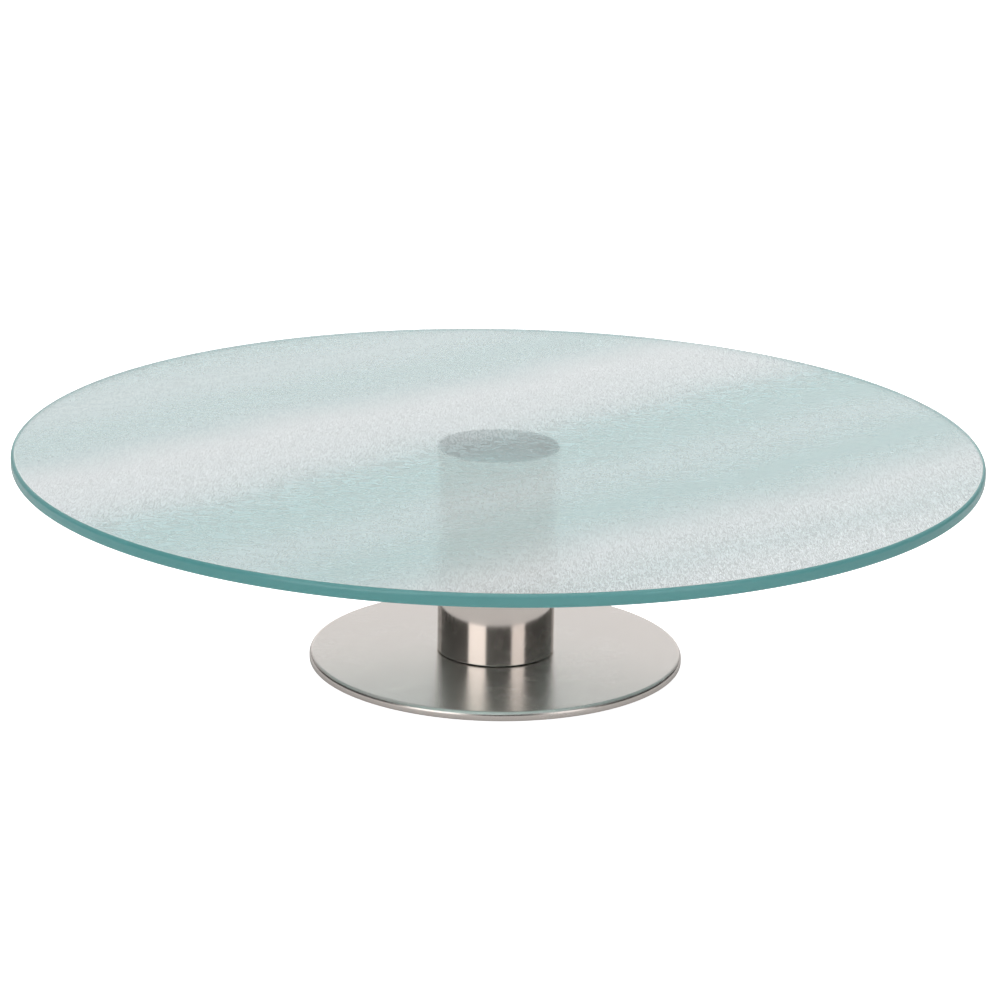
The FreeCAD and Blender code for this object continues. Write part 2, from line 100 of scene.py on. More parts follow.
def add_node(
    tree: Tree,
    kind: str,
    inputs: Optional[dict[Any, Any]] = None,
    stops: Optional[Sequence[tuple[float, Any]]] = None,
    **settings: Any,
) -> bpy.types.Node:
    """Adds one node with its settings, values and links.

    Args:
        tree: the node tree that gets the node.
        kind: the shader node's type, such as Math or TexNoise.
        inputs: its inputs, as fill takes them.
        stops: a colour ramp's stops, each a place from 0 to 1 and a grey level or a colour.
        **settings: the node's own properties.

    Returns:
        The new node.
    """
    node = tree.nodes.new("ShaderNode" + kind)
    for name, value in settings.items():
        setattr(node, name, value)
    fill(tree, node, inputs or {})
    if stops:
        elements = node.color_ramp.elements
        while len(elements) < len(stops):
            elements.new(1.0)
        for element, (place, level) in zip(elements, stops):
            element.position = place
            element.color = level if isinstance(level, tuple) else (level, level, level, 1.0)
    return node


def new_material(name: str) -> tuple[bpy.types.Material, Tree, bpy.types.Node]:
    """Makes an empty node material that ends in one principled shader.

    Args:
        name: the material's name.

    Returns:
        The material, its node tree and the principled shader.
    """
    material = bpy.data.materials.new(name)
    material.use_nodes = True
    tree = material.node_tree
    tree.nodes.clear()
    shader = add_node(tree, "BsdfPrincipled")
    add_node(tree, "OutputMaterial", {"Surface": shader})
    return material, tree, shader


# --- Finishes ---


NOISE_LOW, NOISE_HIGH = 0.3, 0.7  # nearly all of a noise's values lie between these


def span(noise: Source, low: float, high: float) -> dict[Any, Any]:
    """Gives a Map Range node's inputs, which carry a noise onto values from low to high."""
    return {0: noise, 1: NOISE_LOW, 2: NOISE_HIGH, 3: low, 4: high}


class Lay(Enum):
    """The way that tool marks run on a metal surface."""

    ROUND = "circles about the turning axis"
    CROSS = "parallel lines from side to side"
    NONE = "no direction"


@dataclass(frozen=True)
class Metal:
    """A bare or plated metal surface with its tool marks.

    Attributes:
        name: common name and process.
        colour: sRGB hex colour of a clean reflection.
        roughness: how much the surface blurs a reflection.
        marks_mm: distance between tool marks.
        marks_deep_mm: height of the tool marks.
        lay: the way that the tool marks run.
        anisotropy: how much more the surface blurs across the marks than along them.
        cloud: change of roughness between patches, from handling and rolling.
        cloud_mm: size of the patches.
        dim: how bright a dim patch's red, green and blue are beside a clean one's.
        stretch: how many times longer than wide a parallel mark is.
    """

    name: str
    colour: str
    roughness: float
    marks_mm: float
    marks_deep_mm: float
    lay: Lay = Lay.NONE
    anisotropy: float = 0.0
    cloud: float = 0.03
    cloud_mm: float = 22.2
    dim: tuple[float, float, float] = (0.95, 0.95, 0.945)
    stretch: float = 40.0

    def material(self) -> bpy.types.Material:
        """Builds the material.

        Returns:
            A principled metal whose bump is noise squeezed across the marks and stretched along them,
            with a slow noise for cloudy patches in roughness and colour.
        """
        material, tree, shader = new_material(self.name)
        place = add_node(tree, "TexCoord").outputs["Object"]
        marks = add_node(
            tree,
            "TexNoise",
            {"Vector": self.marks_place(tree, place), "Scale": 1.0, "Detail": 3.0, "Roughness": 0.6},
        )
        patches = 1.0 / (self.cloud_mm * MM)
        cloud = add_node(tree, "TexNoise", {"Vector": place, "Scale": patches, "Detail": 4.0})
        mixed = add_node(tree, "Mix", {0: 0.5, 2: marks, 3: cloud}, data_type="FLOAT")
        low, high = self.roughness - self.cloud, self.roughness + self.cloud
        rough = add_node(tree, "MapRange", span(mixed, low, high))
        clean = linear(self.colour)
        dimmed = tuple(part * scale for part, scale in zip(clean, (*self.dim, 1.0)))
        tint = add_node(tree, "ValToRGB", {0: cloud}, stops=[(NOISE_LOW, dimmed), (NOISE_HIGH, clean)])
        bump = add_node(
            tree, "Bump", {"Height": marks, "Strength": 1.0, "Distance": self.marks_deep_mm * MM}
        )
        fill(tree, shader, {
            "Metallic": 1.0,
            "Anisotropic": self.anisotropy,
            "Base Color": tint,
            "Roughness": rough,
            "Normal": bump,
        })
        if self.anisotropy:
            tangent = add_node(tree, "Tangent", direction_type="RADIAL", axis="Z")
            quarter = 0.25  # of a turn, from along the marks to across them
            fill(tree, shader, {"Tangent": tangent, "Anisotropic Rotation": quarter})
        return material

    def marks_place(self, tree: Tree, place: Source) -> Source:
        """Works out where the marks' noise is read.

        Args:
            tree: the material's node tree.
            place: object coordinates, in metres.

        Returns:
            Coordinates that change by 1 from one mark to the next, and slowly along a mark. For round
            marks they are the distance from the axis and the height.
        """
        across = 1.0 / (self.marks_mm * MM)
        if self.lay is Lay.ROUND:
            flat = add_node(tree, "VectorMath", {0: place, 1: (1.0, 1.0, 0.0)}, operation="MULTIPLY")
            radius = add_node(tree, "VectorMath", {0: flat}, operation="LENGTH")
            height = add_node(tree, "SeparateXYZ", {0: place})
            joined = add_node(tree, "CombineXYZ", {0: radius.outputs["Value"], 1: height.outputs[2]})
            place, scale = joined, (across, across, 1.0)
        elif self.lay is Lay.CROSS:
            scale = (across / self.stretch, across, across)
        else:
            scale = (across, across, across)
        scaled = add_node(tree, "VectorMath", {0: place, 1: scale}, operation="MULTIPLY")
        return scaled


@dataclass(frozen=True)
class Polymer:
    """A moulded or foamed plastic or rubber surface.

    Attributes:
        name: common name and process.
        colour: sRGB hex colour.
        roughness: how much the surface blurs a reflection.
        grain_mm: distance between the grains or pores of the skin.
        grain_deep_mm: depth of the grains or pores.
        pores: whether the skin is made of open round pores instead of a fine grain.
        cloud: change of roughness between patches, from the mould and handling.
        cloud_mm: size of the patches.
        hollow: painted shade at the bottom of a grain or pore: how bright it is painted beside the skin.
    """

    name: str
    colour: str
    roughness: float
    grain_mm: float
    grain_deep_mm: float
    pores: bool = False
    cloud: float = 0.06
    cloud_mm: float = 16.7
    hollow: float = 0.72

    def material(self) -> bpy.types.Material:
        """Builds the material.

        Returns:
            A principled plastic with a bump of grains or pores, painted shade at their bottoms, slow
            patches of darker tone, and a slow noise in its roughness.
        """
        material, tree, shader = new_material(self.name)
        place = add_node(tree, "TexCoord").outputs["Object"]
        grains, patches = 1.0 / (self.grain_mm * MM), 1.0 / (self.cloud_mm * MM)
        kind = "TexVoronoi" if self.pores else "TexNoise"
        grain = add_node(tree, kind, {"Vector": place, "Scale": grains})
        cloud = add_node(tree, "TexNoise", {"Vector": place, "Scale": patches, "Detail": 5.0})
        skin = linear(self.colour)
        # painted shade: the colour at the bottom of a grain or pore, which the slow patches of tone also
        # reach
        deep = (*(part * self.hollow for part in skin[:3]), 1.0)
        mixed = add_node(tree, "Mix", {0: 0.45, 2: grain, 3: cloud}, data_type="FLOAT")
        tint = add_node(tree, "ValToRGB", {0: mixed}, stops=[(0.25, deep), (0.65, skin)])
        low, high = self.roughness - self.cloud, self.roughness + self.cloud
        rough = add_node(tree, "MapRange", span(cloud, low, high))
        bump = add_node(
            tree, "Bump", {"Height": grain, "Strength": 0.8, "Distance": self.grain_deep_mm * MM}
        )
        fill(tree, shader, {"Base Color": tint, "Roughness": rough, "Normal": bump})
        return material


@dataclass(frozen=True)
class PressedGlass:
    """Toughened soda-lime glass whose top was pressed with a fine worm-like texture.

    The clear body gives a pale teal, the long way through the glass at the rim a deep one, and the
    pressing scatters light, so that it looks white where it is deep.

    Attributes:
        body: sRGB hex colour of light that has passed through the plate where the pressing is shallow.
        bright: the same where it is deep, so that it lets in stray light too.
        scatter: sRGB hex colour of light that the pressing scatters where it is deep.
        shallow: the same where it is shallow, so that the glass's own colour shows.
        rim: sRGB hex colour of light that leaves through the rim.
        combed_mm: length and width of the worms in the white streaks, which run away from the front.
        rippled_mm: the same for the worms in the clear streaks, which run across.
        worm_deep_mm: depth of the worms where the pressing is deepest.
        worm: pairs of the noise's value and a worm's height, from 0 in a groove to 1 on a crest.
        worm_mean: the worms' mean height.
        haze: how much the pressing hides what lies under it, in the clear and the white streaks.
        fleck: how much whiter a crest is than a groove, where the pressing is deepest.
        shade: painted shade and highlight on the worms: how much darker a groove is painted than a crest,
            there.
        rim_haze: how much the ground rim hides.
        polished: roughness of the polished face.
        ground_rougher: how much rougher the ground rim is.
        pressed_rougher: how much rougher the pressed face is.
        ior: refractive index of soda-lime glass.
    """

    body: str = "#CDE9E6"
    bright: str = "#E4EEEE"
    scatter: str = "#F2F5F9"
    shallow: str = "#68A8B3"
    rim: str = "#5EA6A6"
    combed_mm: tuple[float, float] = (2.4, 0.38)
    rippled_mm: tuple[float, float] = (3.4, 1.6)
    worm_deep_mm: float = 0.014
    worm: tuple[tuple[float, float], ...] = ((0.34, 0.45), (0.46, 1.0), (0.53, 0.15), (0.64, 1.0))
    worm_mean: float = 0.6
    haze: tuple[float, float] = (0.33, 0.54)
    fleck: float = 0.34
    shade: float = 0.72
    rim_haze: float = 0.75
    polished: float = 0.06
    ground_rougher: float = 0.2
    pressed_rougher: float = 0.08
    ior: float = 1.52

    def material(self) -> bpy.types.Material:
        """Builds the material.

        Returns:
            A principled glass. The attributes streak and relief, from 0 to 1, say how white and how
            deep the pressing is, pressed is 1 on the pressed face and rim is 1 on the ground edge.
            A worm is a line where a noise passes through its middle value, and the noise's scale
            makes a worm's length and width half of one of its cells.
        """
        material, tree, shader = new_material("pressed_toughened_glass")
        place = add_node(tree, "TexCoord").outputs["Object"]
        streak, relief, pressed, rim = (
            add_node(tree, "Attribute", attribute_name=name).outputs["Fac"]
            for name in ("streak", "relief", "pressed", "rim")
        )
        rippled, combed = (
            add_node(
                tree,
                "TexNoise",
                {
                    "Vector": add_node(
                        tree,
                        "Mapping",
                        {"Vector": place, "Scale": (wide * MM, deep * MM, 1.0)},
                        vector_type="TEXTURE",
                    ),
                    "Scale": 0.5,
                    "Detail": 1.5,
                    "Distortion": 0.6,
                },
            )
            for wide, deep in (self.rippled_mm, self.combed_mm[::-1])
        )
        noise = add_node(tree, "Mix", {0: streak, 2: rippled, 3: combed})
        worm = add_node(tree, "ValToRGB", {0: noise}, stops=self.worm)
        height = add_node(tree, "Math", {0: worm, 1: relief}, operation="MULTIPLY")
        bump = add_node(
            tree, "Bump", {"Height": height, "Strength": 1.0, "Distance": self.worm_deep_mm * MM}
        )
        level = add_node(
            tree, "MapRange", {0: streak, 1: 0.0, 2: 1.0, 3: self.haze[0], 4: self.haze[1]}
        )
        centred = add_node(tree, "Math", {0: worm, 1: self.worm_mean}, operation="SUBTRACT")
        fleck = add_node(tree, "Math", {0: centred, 1: relief}, operation="MULTIPLY")
        white = add_node(tree, "Math", {0: fleck, 1: self.fleck, 2: level}, operation="MULTIPLY_ADD")
        haze = add_node(tree, "Math", {0: white, 1: pressed}, operation="MULTIPLY")
        scattered = add_node(
            tree, "Mix", {0: streak, 6: linear(self.shallow), 7: linear(self.scatter)}, data_type="RGBA"
        )
        passed = add_node(
            tree, "Mix", {0: streak, 6: linear(self.body), 7: linear(self.bright)}, data_type="RGBA"
        )
        face = add_node(
            tree, "Mix", {0: haze, 6: passed.outputs[2], 7: scattered.outputs[2]}, data_type="RGBA"
        )
        # painted highlight and shade: the colour is scaled up on the worms' crests and down in their
        # grooves
        light = add_node(tree, "Math", {0: fleck, 1: self.shade, 2: 1.0}, operation="MULTIPLY_ADD")
        face_with_painted_light = add_node(tree, "VectorMath", {0: face.outputs[2], "Scale": light}, operation="SCALE")
        colour = add_node(tree, "Mix", {0: rim, 6: face_with_painted_light, 7: linear(self.rim)}, data_type="RGBA")
        solid = add_node(tree, "Math", {0: rim, 1: self.rim_haze, 2: haze}, operation="MULTIPLY_ADD")
        clear = add_node(tree, "Math", {0: 1.0, 1: solid}, operation="SUBTRACT")
        rough = add_node(
            tree, "Math", {0: rim, 1: self.ground_rougher, 2: self.polished}, operation="MULTIPLY_ADD"
        )
        rougher = add_node(
            tree, "Math", {0: pressed, 1: self.pressed_rougher, 2: rough}, operation="MULTIPLY_ADD"
        )
        fill(tree, shader, {
            "IOR": self.ior,
            "Base Color": colour.outputs[2],
            "Transmission Weight": clear,
            "Roughness": rougher,
            "Normal": bump,
        })
        return material


@dataclass(frozen=True)
class ClearResin:
    """Clear acrylic adhesive, cured under ultraviolet light: a wet line round the hub.

    Attributes:
        colour: sRGB hex colour of light that has passed through it.
        wave_mm: distance between the slow waves of its skin.
        roughness: how much the skin blurs a reflection, at the least and at the most.
        clear: how much light passes through it.
        ior: refractive index of cured acrylic.
    """

    colour: str = "#EEF2EE"
    wave_mm: float = 2.5
    roughness: tuple[float, float] = (0.05, 0.18)
    clear: float = 0.7
    ior: float = 1.48

    def material(self) -> bpy.types.Material:
        """Builds the material: clear resin with a slow noise in its roughness."""
        material, tree, shader = new_material("cured_clear_acrylic_adhesive")
        place = add_node(tree, "TexCoord").outputs["Object"]
        wave = add_node(tree, "TexNoise", {"Vector": place, "Scale": 1.0 / (self.wave_mm * MM)})
        rough = add_node(tree, "MapRange", span(wave, *self.roughness))
        fill(tree, shader, {
            "Roughness": rough,
            "Base Color": linear(self.colour),
            "Transmission Weight": self.clear,
            "IOR": self.ior,
        })
        return material


# Drawn tube with fine round marks: nearly a mirror, blurred a little up and down.
SATIN_COLUMN = Metal("satin_drawn_stainless_tube", "#D6CEC8", 0.08, 0.12, 0.0003, Lay.ROUND, 0.5, 0.02)
# Pressed sheet, brushed with no clear direction: soft reflections and a fine even grain.
BRUSHED_FOOT = Metal("brushed_pressed_stainless", "#D9D1CC", 0.265, 0.25, 0.0012, Lay.NONE, 0.0, 0.02)
# A last fine cut: a bright narrow band at the hub's edge.
SKIMMED_FLANK = Metal("skimmed_aluminium_flank", "#DAD8D4", 0.12, 0.1, 0.0003, Lay.ROUND, 0.4, 0.02)
# Turned face, wetted by the adhesive: a dull disc with two darker lobes. Its round marks are too
# fine to show through the glass, so the anisotropy stands for them.
TURNED_HUB = Metal("turned_aluminium", "#92B4B4", 0.6, 0.12, 0.002, Lay.ROUND, 1.0, 0.04)
# Turned tube: soft highlights along its length.
TURNED_SPACER = Metal("turned_aluminium_tube", "#C6C8CA", 0.26, 0.2, 0.003, Lay.ROUND, 0.4, 0.04)
# Ground rings: almost mirrors, with faint round marks.
GROUND_RACE = Metal("ground_bearing_steel", "#BEBEC0", 0.14, 0.08, 0.0008, Lay.ROUND, 0.4, 0.03)
# Lapped balls: mirrors.
LAPPED_BALL = Metal("lapped_bearing_steel_ball", "#C8C8CA", 0.06, 0.3, 0.0003, Lay.NONE, 0.0, 0.02)
# Stamped sheet: hazy reflections.
PRESSED_SHIELD = Metal("pressed_steel_shield", "#BDBDBB", 0.3, 0.3, 0.002, Lay.ROUND, 0.3, 0.05)
# Turned and oiled steel: grey, with soft highlights.
TURNED_SPINDLE = Metal("turned_carbon_steel", "#A9A9A8", 0.28, 0.22, 0.003, Lay.ROUND, 0.4, 0.05)
# Bright zinc: pale, slightly blue and cloudy.
ZINC_SCREW = Metal("zinc_plated_steel_screw", "#BFC3C8", 0.28, 0.35, 0.003, Lay.NONE, 0.0, 0.06)
# Rolled plate under zinc: dull, with faint parallel lines.
ROLLED_BALLAST = Metal("zinc_plated_rolled_steel_disc", "#B4B6B6", 0.36, 0.5, 0.004, Lay.CROSS, 0.0, 0.08)
# Phosphate on spring steel: nearly black and matt.
PHOSPHATED_SPRING = Metal("phosphated_spring_steel", "#4A4A4C", 0.5, 0.3, 0.004, Lay.NONE, 0.0, 0.08)
# Nylon with glass fibres: cream and half matt.
MOULDED_NYLON = Polymer("moulded_glass_filled_nylon", "#D8D0B4", 0.42, 0.3, 0.01)
# Foam: nearly black and matt, with small round pores.
FOAM = Polymer("closed_cell_eva_foam", "#232326", 0.82, 0.45, 0.08, pores=True)


# --- Surfaces of revolution ---


ON_AXIS_MM = 1e-9  # a point nearer to the axis than this is a pole
SUPPORT = 0.12  # distance from an arc to the point that keeps a side flat, in radii


@dataclass(frozen=True)
class Corner:
    """A corner of a turned piece's outline, in millimetres, with the radius that rounds it."""

    across: float
    up: float
    rounding: float = 0.0


def rounded_outline(corners: list[Corner], segments: int = 8) -> np.ndarray:
    """Rounds an outline's corners.

    Each rounded corner becomes an arc that is tangent to its two sides. Its points are the arc's centre
    plus the radius times the unit vector at equal angles between the two tangent points. A point on
    each side, a little away from the arc, keeps the shading of the sides flat.

    Args:
        corners: the outline's corners in order.
        segments: the number of straight pieces in each arc.

    Returns:
        An array of (across, up) points in millimetres.
    """
    found = []
    count = len(corners)
    for n, corner in enumerate(corners):
        here = np.array([corner.across, corner.up])
        if corner.rounding <= 0:
            found.append(here[None, :])
            continue
        sides = []
        for other in (corners[n - 1], corners[(n + 1) % count]):
            side = np.array([other.across, other.up]) - here
            sides.append(side / np.linalg.norm(side))
        half = math.acos(float(np.clip(sides[0] @ sides[1], -1, 1))) / 2
        reach = corner.rounding / math.tan(half)
        middle = sides[0] + sides[1]
        centre = here + middle / np.linalg.norm(middle) * corner.rounding / math.sin(half)
        first, last = (here + side * reach - centre for side in sides)
        start = math.atan2(first[1], first[0])
        sweep = (math.atan2(last[1], last[0]) - start + math.pi) % (2 * math.pi) - math.pi
        angles = start + sweep * np.linspace(0, 1, segments + 1)
        arc = centre + corner.rounding * np.stack([np.cos(angles), np.sin(angles)], 1)
        before, after = (here + side * (reach + corner.rounding * SUPPORT) for side in sides)
        found += [before[None, :], arc, after[None, :]]
    return np.concatenate(found)


def revolve(outline: np.ndarray, steps: int, closed: bool) -> tuple[np.ndarray, list[list[int]]]:
    """Carries an outline round the Z axis.

    A point of the surface is (across cos t, across sin t, up), for the outline's points one way and the
    angle t the other way. An end of the outline that lies on the axis becomes one vertex with a fan of
    triangles. An outline that runs anticlockwise, seen with across to the right, gives faces that point
    outwards.

    Args:
        outline: (across, up) points in millimetres.
        steps: the number of angles.
        closed: whether the outline's last point joins its first.

    Returns:
        The vertices in metres and the faces.
    """
    angles = np.arange(steps) * (2 * math.pi / steps)
    on_axis = outline[:, 0] < ON_AXIS_MM
    rings = outline[~on_axis]
    across, up = rings[:, 0, None], rings[:, 1, None]
    grid = np.stack(
        [across * np.cos(angles), across * np.sin(angles), up * np.ones_like(angles)], axis=-1
    )
    points = grid.reshape(-1, 3)
    index = np.arange(len(rings) * steps).reshape(len(rings), steps)
    turned = np.roll(index, -1, axis=1)
    if closed:
        after, after_turned = np.roll(index, -1, axis=0), np.roll(turned, -1, axis=0)
        quads = np.stack([index, turned, after_turned, after], -1).reshape(-1, 4)
        return points * MM, quads.tolist()
    quads = np.stack([index[:-1], turned[:-1], turned[1:], index[1:]], -1).reshape(-1, 4)
    faces = quads.tolist()
    for pole, ring, flip in ((0, 0, True), (len(outline) - 1, len(rings) - 1, False)):
        if not on_axis[pole]:
            continue
        points = np.vstack([points, [0.0, 0.0, outline[pole, 1]]])
        tip = np.full(steps, len(points) - 1)
        pair = (turned[ring], index[ring]) if flip else (index[ring], turned[ring])
        faces += np.stack([*pair, tip], -1).tolist()
    return points * MM, faces


def new_piece(name: str, points: np.ndarray, faces: list[list[int]]) -> bpy.types.Object:
    """Makes a smooth mesh object at the origin.

    Args:
        name: the piece's name.
        points: its vertices in metres.
        faces: its faces, as vertex numbers.

    Returns:
        The linked object.
    """
    mesh = bpy.data.meshes.new(name)
    mesh.from_pydata(points.tolist(), [], faces)
    mesh.polygons.foreach_set("use_smooth", np.ones(len(mesh.polygons), bool))
    mesh.update()
    piece = bpy.data.objects.new(name, mesh)
    bpy.context.scene.collection.objects.link(piece)
    return piece


def set_field(piece: bpy.types.Object, name: str, values: np.ndarray) -> None:
    """Stores one number for each vertex of a piece as a named attribute.

    Args:
        piece: the object whose mesh gets the attribute.
        name: the attribute's name, which a material reads.
        values: one number for each vertex.
    """
    attribute = piece.data.attributes.new(name, "FLOAT", "POINT")
    attribute.data.foreach_set("value", values.astype(np.float32))


def finish_piece(
    piece: bpy.types.Object, finish: bpy.types.Material, body: str, slot: str, *nodes: str
) -> None:
    """Dresses a new piece and gives it its place in the model.

    Args:
        piece: the new object.
        finish: its material.
        body: the moving body that it rides on.
        slot: not used.
        *nodes: the model's nodes that it stands for.
    """
    piece.data.materials.append(finish)
    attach(piece, body)
    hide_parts(*nodes)
    LOG.info("%s: %d vertices, %s", piece.name, len(piece.data.vertices), finish.name)


def node_mm(node: str) -> tuple[float, float, float]:
    """Reads a round node's size from the model.

    Args:
        node: the node's name.

    Returns:
        Its outer radius, its lowest height and its highest height, in millimetres.
    """
    low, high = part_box(node)
    return max(high.x, high.y, -low.x, -low.y) / MM, low.z / MM, high.z / MM


# --- Plate ---


@dataclass
class Plate:
    """The round glass plate, with its ground edge and its pressed top.

    Attributes:
        rounding: radius of the ground edge, in millimetres.
        margin: width of the smooth border round the pressing, in millimetres.
        rim_start: how far past the flat face the rim's own colour starts, in millimetres.
        waviness: depth of the slow waves in the pressed top, in millimetres.
        bearing: direction of the streaks, in degrees from +X.
        streaks: pairs of a distance from the plate's centre, across the streaks in millimetres, and how
            white the pressing is there, from 0 to 1.
        reliefs: the same for how deep the pressing is.
        long_bend: depth of the long sine waves that bend the streaks, and the distance along a streak
            that turns them by one radian, in millimetres.
        short_bend: the same for the short waves, and the distance across that turns them.
        wave_count: the number of slow waves in the top.
        wave_mm: their least and greatest length.
        rings: the number of circles across the top.
        rings_below: the number across the lower face, with its centre.
        steps: the number of points round each circle.
        seed: what the waves' directions are drawn from.
    """

    rounding: float = 1.2
    margin: float = 0.4
    rim_start: float = 0.02
    waviness: float = 0.02
    bearing: float = 41.0
    streaks: tuple[tuple[float, float], ...] = (
        (-144, 0.92), (-136, 0.88), (-124, 0.66), (-112, 0.84), (-104, 0.9), (-96, 0.72), (-88, 0.44),
        (-80, 0.2), (-72, 0.04), (-64, 0.16), (-48, 0.4), (-40, 0.36), (-32, 0.16), (-24, 0.04),
        (-12, 0.0), (0, 0.2), (8, 0.56), (16, 0.76), (24, 0.9), (48, 1.0), (56, 0.9), (64, 0.68),
        (72, 0.44), (80, 0.32), (88, 0.28), (104, 0.48), (116, 0.6), (128, 0.48), (144, 0.3),
    )
    reliefs: tuple[tuple[float, float], ...] = (
        (-144, 1.0), (-120, 1.0), (-104, 0.6), (-88, 0.35), (-40, 0.4), (-24, 0.5), (0, 1.0),
        (14, 0.65), (24, 0.5), (42, 0.45), (54, 0.22), (96, 0.2), (128, 0.27), (144, 0.75),
    )
    long_bend: tuple[float, float] = (1.8, 23.0)
    short_bend: tuple[float, float, float] = (1.1, 9.0, 31.0)
    wave_count: int = 12
    wave_mm: tuple[float, float] = (4.0, 8.0)
    rings: int = 112
    rings_below: int = 9
    steps: int = 640
    seed: int = 7

    def build(self) -> None:
        """Builds and dresses the plate, one closed surface whose top is lowered by slow waves."""
        radius, low, high = node_mm("glass_plate")
        points, faces = revolve(self.outline(radius, low, high), self.steps, closed=False)
        across = np.hypot(points[:, 0], points[:, 1]) / MM
        flat = radius - self.rounding
        hair = 0.001  # in millimetres, more than the rounding of a height
        on_top = points[:, 2] > (high - hair) * MM
        inside = np.clip((flat - across) / self.margin, 0, 1) * on_top
        place = points[:, :2] / MM
        streak, relief = (self.banded(place, table) for table in (self.streaks, self.reliefs))
        points[:, 2] -= inside * self.waviness * MM * relief * self.waves(place)
        plate = new_piece("pressed_glass_plate", points, faces)
        set_field(plate, "streak", streak)
        set_field(plate, "relief", relief * inside)
        set_field(plate, "pressed", inside)
        set_field(plate, "rim", across > flat + self.rim_start)
        finish_piece(plate, PressedGlass().material(), "turntable", "clear_glass", "glass_plate")
        plate.visible_shadow = plate.visible_diffuse = False

    def outline(self, radius: float, low: float, high: float) -> np.ndarray:
        """Works out half of the plate's section.

        Args:
            radius: the plate's radius.
            low: the height of its lower face.
            high: the height of its upper face.

        Returns:
            Points from the centre of the lower face, round the rim, to the centre of the upper face.
        """
        edge = rounded_outline(
            [
                Corner(0.0, low),
                Corner(radius, low, self.rounding),
                Corner(radius, high, self.rounding),
                Corner(0.0, high),
            ]
        )[1:-1]
        inner = np.linspace(0.0, edge[0, 0], self.rings_below)[:-1]
        outer = np.linspace(edge[-1, 0] - self.margin, 0.0, self.rings)
        below = np.stack([inner, np.full_like(inner, low)], 1)
        above = np.stack([outer, np.full_like(outer, high)], 1)
        return np.concatenate([below, edge, above])

    def banded(self, place: np.ndarray, table: tuple[tuple[float, float], ...]) -> np.ndarray:
        """Reads a table of bands at each point.

        The distance across the streaks is bent a little by two sine waves that run along them, and
        the value goes straight from one place of the table to the next.

        Args:
            place: (x, y) points in millimetres.
            table: pairs of a distance across the streaks and a value.

        Returns:
            The value at each point.
        """
        turn = math.radians(self.bearing)
        across = place @ np.array([-math.sin(turn), math.cos(turn)])
        along = place @ np.array([math.cos(turn), math.sin(turn)])
        deep, length = self.long_bend
        bent = across + deep * np.sin(along / length)
        deep, length, width = self.short_bend
        bent += deep * np.sin(along / length + across / width)
        return np.interp(bent, *np.array(table).T)

    def waves(self, place: np.ndarray) -> np.ndarray:
        """Works out the slow waves of the pressed top.

        The height is the mean of sine waves with random directions, lengths and phases.

        Args:
            place: (x, y) points in millimetres.

        Returns:
            Values between 0 and 1.
        """
        draw = np.random.default_rng(self.seed)
        angles = draw.uniform(0, 2 * math.pi, self.wave_count)
        lengths = draw.uniform(*self.wave_mm, self.wave_count)
        phases = draw.uniform(0, 2 * math.pi, self.wave_count)
        directions = np.stack([np.cos(angles), np.sin(angles)]) * (2 * math.pi / lengths)
        return 0.5 + 0.5 * np.sin(place @ directions + phases).mean(axis=1)


# --- Hub and column ---


